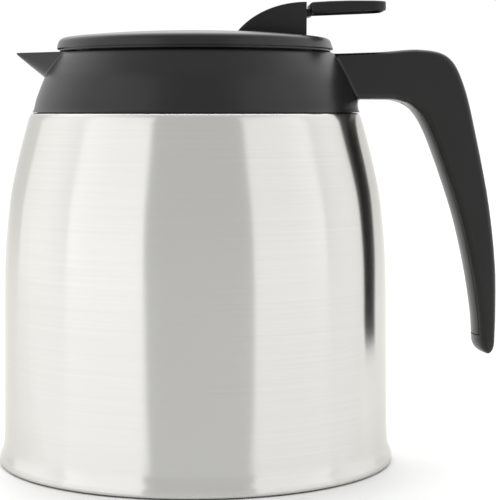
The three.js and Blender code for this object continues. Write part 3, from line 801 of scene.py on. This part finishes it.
# ---------------- handle
# Matching points along the outer and the inner edge of the handle's side view.
HANDLE_OUTER = [(48, 154.1), (68, 154.6), (84.2, 155.55), (94.8, 152.6), (100.85, 141.6), (105.9, 121),
                (110.55, 97.5), (113.15, 75), (113.55, 57), (113.35, 46)]
HANDLE_INNER = [(48, 137), (66, 137), (76.2, 136.5), (81.4, 133), (86.4, 125), (92.2, 110),
                (98.1, 92), (102.5, 73), (105.15, 57), (106.05, 46)]
ROOT_SHARE = 1 / 9               # share of the handle's length at which it is free of its root
HANDLE_HALF_WIDTH = 11.5
HANDLE_CORNER = 2.6              # radius of the section's corners
HANDLE_TIP = 5.4                 # length of the rounded end
EDGE_CURVE_POINTS = 20           # for each span between two of those points
OUTER_CURVE = np.array(rising_curve(HANDLE_OUTER, EDGE_CURVE_POINTS))
INNER_CURVE = np.array(rising_curve(HANDLE_INNER, EDGE_CURVE_POINTS))
HANDLE_CROWN = 3.4               # how far the handle's inner side bulges between its two edges
COVER_SPAN = (7 / 27, 26.6 / 27) # shares of the handle's length that the inner cover takes
COVER_HALF_WIDTH = 8
COVER_SEAM = 0.25


def along_curve(curve, share):
    """The point at a share of a curve's steps."""
    position = share * (len(curve) - 1)
    step = min(int(position), len(curve) - 2)
    return curve[step] + (curve[step + 1] - curve[step]) * (position - step)


def section_outline(thickness, half_width, radius):
    """A rounded rectangle as points (share of the thickness, y), with extra points on its inner side."""
    corner_steps, inner_steps = 7, 14
    corners = [(0, -half_width), (thickness, -half_width), (thickness, half_width), (0, half_width)]
    round_corners = rounded(corners, [radius] * 4, corner_steps)
    last, first = round_corners[-1], round_corners[0]
    across_inner = [(0, last[1] + (first[1] - last[1]) * k / inner_steps) for k in range(1, inner_steps)]
    return [(across / thickness, y) for across, y in round_corners + across_inner]


def crown_depth(y, thickness):
    """How far the handle's inner side falls back from its middle at a distance y."""
    return min(HANDLE_CROWN, 0.5 * thickness) * (abs(y) / HANDLE_HALF_WIDTH) ** 2


def handle_ring(share, low_part=0.0, high_part=1.0, half_width=HANDLE_HALF_WIDTH, radius=HANDLE_CORNER):
    """The handle's section at a share of its length, or a part of it between two shares of thickness."""
    inner, outer = along_curve(INNER_CURVE, share), along_curve(OUTER_CURVE, share)
    whole = float(np.linalg.norm(outer - inner))
    crowned = np.clip((share - 0.25) / 0.17, 0, 1)
    thickness = whole * (high_part - low_part)
    ring = []
    for part, y in section_outline(thickness, half_width, min(radius, thickness * 0.48)):
        place = low_part + (high_part - low_part) * part
        fallen_back = crowned * crown_depth(y, whole) / whole * max(0.0, 1 - place)
        x, z = inner + (outer - inner) * (place + fallen_back)
        ring.append((x, y, z))
    return ring


def root_ring(distance, flare):
    """The handle's section where it is a distance off the collar, grown sideways by flare."""
    inner, outer = along_curve(INNER_CURVE, ROOT_SHARE), along_curve(OUTER_CURVE, ROOT_SHARE)
    low_z, high_z = HANDLE_INNER[0][1], HANDLE_OUTER[0][1]
    ring = []
    for part, y in section_outline(float(np.linalg.norm(outer - inner)), HANDLE_HALF_WIDTH, HANDLE_CORNER):
        y *= 1 + flare / HANDLE_HALF_WIDTH
        z = low_z + (high_z - low_z) * part - flare * max(0.0, 1 - 2 * part)
        r = float(collar_radius(z)) + BOSS_HEIGHT + distance
        ring.append((math.sqrt(r * r - y * y), y, z))
    return ring


def make_handle_shell():
    """The handle with a fillet at its root, a rounded lower end and a pocket for the inner cover."""
    fillet, collar_seam = 1.4, 0.06
    rings = []
    for angle in np.linspace(0, 90, 7):
        distance = fillet * (1 - math.cos(math.radians(angle)))
        rings.append(root_ring(collar_seam + distance, fillet * (1 - math.sin(math.radians(angle)))))
    rings.append(root_ring(2.4, 0))
    rings += [handle_ring(share) for share in np.linspace(ROOT_SHARE, 1, 90)]
    end_inner, end_outer = INNER_CURVE[-1], OUTER_CURVE[-1]
    pull_x, pull_z = end_inner + (end_outer - end_inner) * 0.62
    down = np.array([0.03, -1.0])
    for angle in np.radians([12, 25, 38, 50, 62, 73, 82]):
        squeeze = math.cos(angle) ** 0.8
        width = 1 - 0.28 * (1 - squeeze)
        shift_x, shift_z = down * HANDLE_TIP * math.sin(angle)
        rings.append([((x - pull_x) * squeeze + pull_x + shift_x, y * width,
                       (z - pull_z) * squeeze + pull_z + shift_z) for x, y, z in handle_ring(1)])
    piece = lofted("handle_shell_fine", rings, 35)
    pocket_depth, pocket_half_width = 0.32, COVER_HALF_WIDTH + COVER_SEAM
    pocket = lofted("pocket", [handle_ring(share, -0.5, pocket_depth, pocket_half_width, 0.05)
                               for share in np.linspace(*COVER_SPAN, 70)])
    low, high = box_mm("handle_screw_left")
    holes = [rod_along_x("hole", 1.45, 50, 71, side * (low.y + high.y) / 2, (low.z + high.z) / 2)
             for side in (-1, 1)]
    combine(piece, "DIFFERENCE", [pocket, *holes])
    finish_piece(piece, "black_plastic", "jug", "handle_shell")


def make_handle_inner_cover():
    """The strip that closes the handle's inner side, a little short of its pocket at both ends."""
    ends = (COVER_SPAN[0] + 0.0035, COVER_SPAN[1] - 0.0035)
    rings = [handle_ring(share, 0.012, 0.25, COVER_HALF_WIDTH, 0.5) for share in np.linspace(*ends, 80)]
    piece = lofted("handle_inner_cover_fine", rings, 35)
    finish_piece(piece, "black_plastic", "jug", "handle_inner_cover")


# ---------------- lid
LID_TOP_Z = box_mm("lid_cover")[1].z
LID_EDGE_Z = 155.6               # lower end of the rim, where it steps in to the skirt
LID_SKIRT_Z = box_mm("lid_cover")[0].z + 0.3
FIN_BOTTOM_Z = box_mm("lever_housing")[0].z
LID_SEAT_Z = FIN_BOTTOM_Z - 0.3  # flat seat of the lever housing, sunk into the lid's dome
LID_UNDERSIDE_Z = LID_SEAT_Z - 2.2
LID_SHOULDER_R, LID_SHOULDER_Z = 49, 160.05
HOUSING_SCREW_X, HOUSING_SCREW_Y = 23, 6
LID_MIDDLE_R = 1.5               # radius of the small disc that closes the dome's middle


def lid_rim(angle):
    """The lid's rounded rim, from the dome down. It is upright towards the spout and slants
    towards the handle."""
    slant = 0.5 + 0.5 * math.cos(angle)
    upright = [(48.2, 160.1), (49.4, 159.88), (50.3, 159.5), (50.95, 159.0), (51.4, 158.35),
               (51.75, 157.4), (51.92, 156.5), (51.95, 155.85), (51.75, LID_EDGE_Z)]
    slanted_r = [48.2, 49.4, 50.25, 50.8, 51.15, 51.46, 51.8, 52.05, 51.85]
    return [(r + (other_r - r) * slant, z) for (r, z), other_r in zip(upright, slanted_r)]


def make_lid_cover():
    """A shallow dome with a rounded rim, and a skirt that fills the gap above the collar."""
    crown = [(r, LID_SHOULDER_Z + (LID_TOP_Z - LID_SHOULDER_Z) * (1 - (r / LID_SHOULDER_R) ** 2))
             for r in (LID_MIDDLE_R, *range(4, 47, 3))]
    skirt = [(51, LID_EDGE_Z), (51, LID_SKIRT_Z + 0.2), (50.8, LID_SKIRT_Z), (49.9, LID_SKIRT_Z),
             (49.7, LID_SKIRT_Z + 0.2)]
    inside = [(49.7, 156.5), (49.6, 157.3), (49.2, 157.9), (48.0, LID_UNDERSIDE_Z),
              (LID_MIDDLE_R, LID_UNDERSIDE_Z)]
    angles = np.radians(np.arange(0, 360, 1.5))
    columns = [[*crown, *lid_rim(angle), *skirt, *inside] for angle in angles]
    rings = [[(column[row][0] * math.cos(a), column[row][0] * math.sin(a), column[row][1])
              for column, a in zip(columns, angles)] for row in range(len(columns[0]))]
    piece = lofted("lid_cover_fine", rings, 35)
    seat = slab("seat", fin_outline(-LID_SEAM, LID_SEAT_Z), FIN_HALF_WIDTH + LID_SEAM)
    slot = block("slot", (25, 38), (-4.5, 4.5), (150, 170), 0.8)
    holes = [rod("hole", 1.8, 150, 170, HOUSING_SCREW_X, side * HOUSING_SCREW_Y) for side in (-1, 1)]
    combine(piece, "DIFFERENCE", [seat, slot, *holes])
    finish_piece(piece, "black_plastic", "lid", "lid_cover")


def make_lid_base():
    """The threaded plug: a cup with a flange, a port in its floor and a window to the spout."""
    low, high = box_mm("lid_base")
    r, wall, flange_r, flange_z = 41.8, 2.0, 48.4, 156
    corners = [(0, low.z), (r, low.z), (r, flange_z), (flange_r, flange_z), (flange_r, high.z),
               (r - wall, high.z), (r - wall, low.z + wall), (0, low.z + wall)]
    profile = rounded(corners, [0, 1.6, 0.3, 0.3, 0.3, 0.3, 1.2, 0], 5)
    piece = turned("lid_base_fine", profile)
    lugs = thread_bars(r - 0.6, 44.2, RIDGE_Z - RIDGE_HEIGHT - 0.4, RIDGE_HEIGHT, 4.5, 31.5)
    combine(piece, "UNION", lugs)
    port = rod("port", 7, 120, 140)
    window = block("window", (-60, -30), (-14, 14), (149.6, 155), 1.2)
    combine(piece, "DIFFERENCE", [port, window])
    round_edges(piece, 0.25, 2, 60)
    finish_piece(piece, "black_plastic", "lid", "lid_base")


def make_lid_gasket():
    """A ring with two soft lips outside."""
    low, high = box_mm("lid_gasket")
    inner = 42.1
    profile = [(inner, low.z), (45.2, low.z), (46.1, low.z + 0.25), (46.2, low.z + 0.4),
               (45.5, low.z + 0.6), (45.3, (low.z + high.z) / 2), (45.5, high.z - 0.6),
               (46.2, high.z - 0.4), (46.1, high.z - 0.25), (45.2, high.z), (inner, high.z)]
    make_turned_piece("lid_gasket", profile, "silicone", "lid_seal")


# ---------------- lever housing
FIN_TOP_Z = box_mm("lever_housing")[1].z - 0.1
FIN_REAR_X = box_mm("lever_housing")[1].x
FIN_HALF_WIDTH = box_mm("lever_housing")[1].y
FIN_RISE_Z = 150                 # height of the ellipse's centre
FIN_LENGTH = 30.3
FIN_WALL = 2
LID_SEAM = 0.14                  # between the fin and the lid's dome
JOINTS = {joint["name"]: joint for joint in frame["record"]["behaviour"]["joints"]}
PIVOT_X, _, PIVOT_Z = (c / MM for c in JOINTS["lever_press"]["pos_m"])


def fin_outline(inset, bottom=FIN_BOTTOM_Z):
    """A quarter of an ellipse in front of an upright rear face."""
    long, tall = FIN_LENGTH - inset, FIN_TOP_Z - FIN_RISE_Z - inset
    first = math.asin((bottom - FIN_RISE_Z) / tall)
    last = math.acos(inset / long)
    front = [(FIN_REAR_X - long * math.cos(t), FIN_RISE_Z + tall * math.sin(t))
             for t in np.linspace(first, last, 48)]
    return [*front, (FIN_REAR_X - inset, bottom)]


def make_lever_housing():
    """A hollow fin, open below, with two screw bosses, the pin's bore and the neck's slot."""
    whole = slab("lever_housing_fine", fin_outline(0), FIN_HALF_WIDTH, 1.1)
    flat_foot = block("foot", (0, 60), (-20, 20), (150, FIN_BOTTOM_Z + 0.02))
    cavity = slab("cavity", fin_outline(FIN_WALL), FIN_HALF_WIDTH - FIN_WALL)
    open_below = block("open", (15, FIN_REAR_X - FIN_WALL), (-9.5, 9.5), (150, FIN_BOTTOM_Z + 0.2))
    combine(whole, "DIFFERENCE", [flat_foot, cavity, open_below])
    for side in (-1, 1):
        boss = rod("boss", 2.8, FIN_BOTTOM_Z + 0.05, 172, HOUSING_SCREW_X, side * HOUSING_SCREW_Y)
        combine(boss, "INTERSECT", [slab("room", fin_outline(0.6, FIN_BOTTOM_Z), FIN_HALF_WIDTH - 1)])
        combine(whole, "UNION", [boss])
    pin_bore = rod_along_y("bore", 1.6, 10.5, PIVOT_X, PIVOT_Z)
    neck_slot = block("neck_slot", (FIN_REAR_X - 5, FIN_REAR_X + 2), (-7.6, 7.6), (164.6, 171.3), 0.6)
    holes = [rod("hole", 1.25, 150, 165.4, HOUSING_SCREW_X, side * HOUSING_SCREW_Y) for side in (-1, 1)]
    combine(whole, "DIFFERENCE", [pin_bore, neck_slot, *holes])
    finish_piece(whole, "lever_plastic", "lid", "lever_housing")


def make_lever_pin():
    piece = rod_along_y("lever_pin_fine", 1.5, box_mm("lever_pin")[1].y, PIVOT_X, PIVOT_Z, 0.3)
    finish_piece(piece, "fastener_steel", "lid", "lever_pin")


# ---------------- thumb lever
PAD_X = (43, box_mm("thumb_lever")[1].x)
PAD_HALF_WIDTH = box_mm("thumb_lever")[1].y
PAD_CORNER = 5                   # radius of the pad's two far corners, in plan
PAD_WALL = 0.9                   # the pad is a shell, open below
PAD_ROOF_Z = 171.7               # top of the hollow below the pad


def pad_half_width(x):
    """Half width of the pad in plan: its far corners are round."""
    past = max(0.0, x - (PAD_X[1] - PAD_CORNER))
    return PAD_HALF_WIDTH - PAD_CORNER + math.sqrt(max(PAD_CORNER ** 2 - past ** 2, 0.0))


def pad_ring(x, shrink):
    """The pad's section at x: a rounded bar, shrunk towards its middle by the share shrink."""
    share = (x - PAD_X[0]) / (PAD_X[1] - PAD_X[0])
    low = 168.95 + 1.2 * share
    high = float(np.interp(share, [0, 0.25, 0.5, 0.8, 1], [172.95, 173.4, 173.62, 173.62, 173.5]))
    half = pad_half_width(x)
    corners = [(-half, low), (half, low), (half, high), (-half, high)]
    outline = rounded(corners, [0.7, 0.7, 0.9, 0.9], 6)
    middle = (low + high) / 2
    return [(x, y * (1 - shrink), middle + (z - middle) * (1 - 2 * shrink)) for y, z in outline]


def make_pad():
    """The thumb pad, its two ends and its edges rounded, hollow from below."""
    round_end = [PAD_X[1] - PAD_CORNER * (1 - math.sin(t)) for t in np.radians(np.linspace(0, 84, 16))]
    rings = [pad_ring(PAD_X[0], 0.1), pad_ring(PAD_X[0] + 0.15, 0.04), pad_ring(PAD_X[0] + 0.5, 0.01),
             pad_ring(PAD_X[0] + 0.9, 0)]
    rings += [pad_ring(x, 0) for x in np.linspace(PAD_X[0] + 2, PAD_X[1] - PAD_CORNER - 0.5, 14)]
    for x in round_end:
        near = max(0.0, (x - (PAD_X[1] - 0.8)) / 0.8)
        rings.append(pad_ring(x, 0.06 * near ** 2))
    rings.append(pad_ring(PAD_X[1], 0.1))
    pad = lofted("thumb_lever_fine", rings, 40)
    near, far = PAD_X[0] + PAD_WALL, PAD_X[1] - PAD_WALL
    side = PAD_HALF_WIDTH - PAD_WALL
    plan = rounded([(near, -side), (far, -side), (far, side), (near, side)],
                   [1, PAD_CORNER - PAD_WALL, PAD_CORNER - PAD_WALL, 1], 8)
    inside = lofted("inside", [[(x, y, z) for x, y in plan] for z in (160, PAD_ROOF_Z)])
    return combine(pad, "DIFFERENCE", [inside])


def make_thumb_lever():
    """The pad, its neck, the hub on the pin, and the arm down to the fork under the stem's head."""
    piece = make_pad()
    neck = slab("neck", [(34, 166), (38, 167.2), (44, 168.2), (44, 171), (38, 170.3), (34, 168)], 7, 0.5)
    hub = rod_along_y("hub", 2.7, 8.6, PIVOT_X, PIVOT_Z, 0.3)
    hub_middle = rod_along_y("hub_middle", 4, 3.5, PIVOT_X, PIVOT_Z, 0.3)
    arm = block("arm", (29, 33), (-3.5, 3.5), (137.4, 164), 0.6)
    leg = block("leg", (-1, 32.9), (-6.2, 6.2), (137.3, 139.8), 0.5)
    nose = rod_along_y("nose", 3, 6.1, 0, 138, 0.3)
    combine(piece, "UNION", [neck, hub, hub_middle, arm, leg, nose])
    stem_slot = block("stem_slot", (-20, 9), (-3, 3), (130, 150))
    bore = rod_along_y("bore", 1.6, 10.2, PIVOT_X, PIVOT_Z)
    combine(piece, "DIFFERENCE", [stem_slot, bore])
    finish_piece(piece, "lever_plastic", "lever", "thumb_lever")


# ---------------- valve
def make_valve_stem():
    """A turned stem with a collar above the seal and a head that the fork lifts."""
    low, high = box_mm("valve_stem")
    stem = 2.4
    corners = [(0, low.z), (4.2, low.z), (4.2, 131), (stem, 131), (stem, 133.3), (5.5, 133.3), (5.5, 134),
               (stem, 134), (stem, 141.3), (high.x, 141.3), (high.x, 143.3), (3.4, 143.3), (3.2, high.z),
               (0, high.z)]
    radii = [0, 0.5, 0.4, 0, 0, 0.2, 0.2, 0.3, 0.4, 0.4, 0.4, 0.3, 0.4, 0]
    make_turned_piece("valve_stem", rounded(corners, radii, 4), "lever_plastic", "valve", SMALL_ROUND)


def make_valve_seal():
    """A silicone disc with a thin lip that lies on the port's rim."""
    low, high = box_mm("valve_seal")
    inner, r = 2.8, high.x
    profile = [(inner, low.z + 0.3), (6.6, low.z + 0.3), (7.4, low.z), (r - 0.2, low.z), (r, low.z + 0.2),
               (r - 0.1, low.z + 0.5), (8.2, high.z - 0.5), (7.2, high.z - 0.1), (6.8, high.z),
               (inner, high.z)]
    make_turned_piece("valve_seal", profile, "silicone", "valve", SMALL_ROUND)


def make_valve_spring():
    """A coil of round wire whose end turns lie flat."""
    low, high = box_mm("valve_spring")
    wire, coil_r, turns, per_turn, around = 0.55, 5.0, 5.5, 40, 12
    bottom, top = low.z + wire, high.z - wire
    count = int(turns * per_turn)
    rings = []
    for i in range(count + 1):
        turn = i / per_turn
        ease = min(1.0, max(0.0, (turn - 0.85) / (turns - 1.7)))
        z = bottom + (top - bottom - 2 * wire) * ease + wire * min(1, turn) + wire * max(0, turn - turns + 1)
        angle = 2 * math.pi * turn
        ring = []
        for k in range(around):
            a = 2 * math.pi * k / around
            r = coil_r + wire * math.cos(a)
            ring.append((r * math.cos(angle), r * math.sin(angle), z + wire * math.sin(a)))
        rings.append(ring)
    piece = lofted("valve_spring_fine", rings, 60)
    finish_piece(piece, "fastener_steel", "valve", "valve_spring")
    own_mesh(piece)


# ---------------- assembly
make_outer_shell()
make_inner_vessel()
make_base_plate()
make_base_pad()
make_getter()
make_evacuation_seal()
make_collar()
make_neck_gasket()
make_neck_ring()
make_handle_shell()
make_handle_inner_cover()
for screw in ("handle_screw_left", "handle_screw_right"):
    make_handle_screw(screw)
make_lid_cover()
make_lid_base()
make_lid_gasket()
make_lever_housing()
make_lever_pin()
for screw in ("housing_screw_left", "housing_screw_right"):
    make_housing_screw(screw)
make_thumb_lever()
make_valve_stem()
make_valve_seal()
make_valve_spring()
